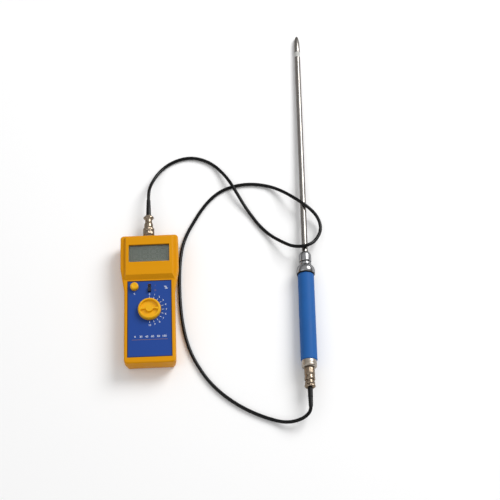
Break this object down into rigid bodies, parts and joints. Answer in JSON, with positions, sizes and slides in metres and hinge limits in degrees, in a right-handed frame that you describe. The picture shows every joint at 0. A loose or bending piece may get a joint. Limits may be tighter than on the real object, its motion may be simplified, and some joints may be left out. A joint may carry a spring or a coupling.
{
  "type": "grain moisture meter",
  "caption": "Handheld moisture meter with a display, dial and switch, joined by a loose signal cord to a long steel probe with a sleeved handle.",
  "frame": {"origin": "centre of the meter's flat back, which lies on the table", "axes": "+Y along the meter towards its display and socket end, +X to the right of the dial, +Z out of the face"},
  "size_m": [0.2394, 0.5286, 0.0292],
  "materials": {
    "case_plastic": "moulded ABS, satin",
    "control_plastic": "moulded ABS, semi gloss",
    "label_film": "printed polycarbonate overlay, satin",
    "window_clear": "clear acrylic",
    "display_glass": "grey green liquid crystal",
    "black_plastic": "moulded, satin",
    "board_laminate": "solder resist",
    "chip_epoxy": "matt epoxy",
    "can_aluminium": "bare can",
    "strip_rubber": "elastomer",
    "screw_steel": "zinc plated",
    "nickel": "nickel plated brass",
    "chrome_plate": "chrome plated",
    "rod_steel": "polished stainless steel",
    "ptfe": "white PTFE",
    "ring_plastic": "pale grey plastic",
    "contact_brass": "gold plated brass",
    "core_metal": "brass rod",
    "sleeve_rubber": "smooth blue rubber",
    "black_rubber": "smooth black rubber",
    "cord_jacket": "glossy PVC jacket",
    "tube_aluminium": "drawn tube",
    "battery_foil": "wrapped metal can",
    "foam": "closed cell foam",
    "lead_pvc": "PVC insulation"
  },
  "bodies": {
    "instrument": {"front_cover": "case_plastic", "rear_cover": "case_plastic", "case_screws": "screw_steel", "front_label": "label_film", "display_window": "window_clear", "display_glass": "display_glass", "display_frame": "black_plastic", "display_contact_strips": "strip_rubber", "potentiometer_body": "can_aluminium", "zero_switch_body": "black_plastic", "power_switch_body": "can_aluminium", "main_board": "board_laminate", "board_screws": "screw_steel", "controller_chip": "chip_epoxy", "small_chips": "chip_epoxy", "capacitors": "can_aluminium", "battery": "battery_foil", "battery_snap": "black_plastic", "battery_leads": "lead_pvc", "battery_pad": "foam", "meter_socket_body": "nickel", "meter_socket_insulator": "ptfe", "meter_socket_contact": "contact_brass", "meter_plug_body": "nickel", "meter_plug_insulator": "ptfe", "meter_plug_pin": "contact_brass", "meter_plug_boot": "black_rubber", "meter_socket_flange": "nickel", "meter_socket_nut": "nickel", "end_collar": "nickel", "handle_tube": "tube_aluminium", "grip_sleeve": "sleeve_rubber", "handle_seal": "black_rubber", "dome_nut": "chrome_plate", "gland_body": "chrome_plate", "gland_seal": "black_rubber", "gland_nut": "chrome_plate", "probe_tube": "rod_steel", "core_insulation": "ptfe", "rod_bush": "black_plastic", "inner_conductor": "core_metal", "handle_lead": "lead_pvc", "insulating_ring": "ring_plastic", "tip_electrode": "rod_steel", "probe_socket_body": "nickel", "probe_socket_insulator": "ptfe", "probe_socket_contact": "contact_brass", "probe_plug_body": "nickel", "probe_plug_insulator": "ptfe", "probe_plug_pin": "contact_brass", "probe_plug_boot": "black_rubber", "signal_cord": "cord_jacket"},
    "knob": {"range_knob": "control_plastic", "potentiometer_shaft": "nickel"},
    "zero_key": {"zero_button": "control_plastic", "zero_switch_plunger": "black_plastic"},
    "power_slider": {"power_switch_slider": "black_plastic"},
    "door": {"battery_door": "case_plastic"},
    "meter_nut": {"meter_coupling_nut": "nickel"},
    "probe_nut": {"probe_coupling_nut": "nickel"}
  },
  "joints": [
    {"name": "knob_turn", "type": "hinge", "parent": "instrument", "child": "knob", "pos_m": [0, -0.0156, 0.024], "axis": [0, 0, 1], "range_deg": [-90, 90]},
    {"name": "zero_press", "type": "slide", "parent": "instrument", "child": "zero_key", "axis": [0, 0, -1], "range_m": [0, 0.0008], "stiffness_N_per_m": 500, "springref_m": -0.001},
    {"name": "power_slide", "type": "slide", "parent": "instrument", "child": "power_slider", "axis": [0, 1, 0], "range_m": [0, 0.0048]},
    {"name": "door_slide", "type": "slide", "parent": "instrument", "child": "door", "axis": [0, -1, 0], "range_m": [0, 0.056]},
    {"name": "meter_nut_turn", "type": "hinge", "parent": "instrument", "child": "meter_nut", "pos_m": [-0.0012, 0.08, 0.014], "axis": [0, 1, 0], "range_deg": [0, 90]},
    {"name": "probe_nut_turn", "type": "hinge", "parent": "instrument", "child": "probe_nut", "pos_m": [0.17824, -0.09024, 0.01349], "axis": [-0.0305, -0.9993, 0.0223], "range_deg": [0, 90]}
  ]
}
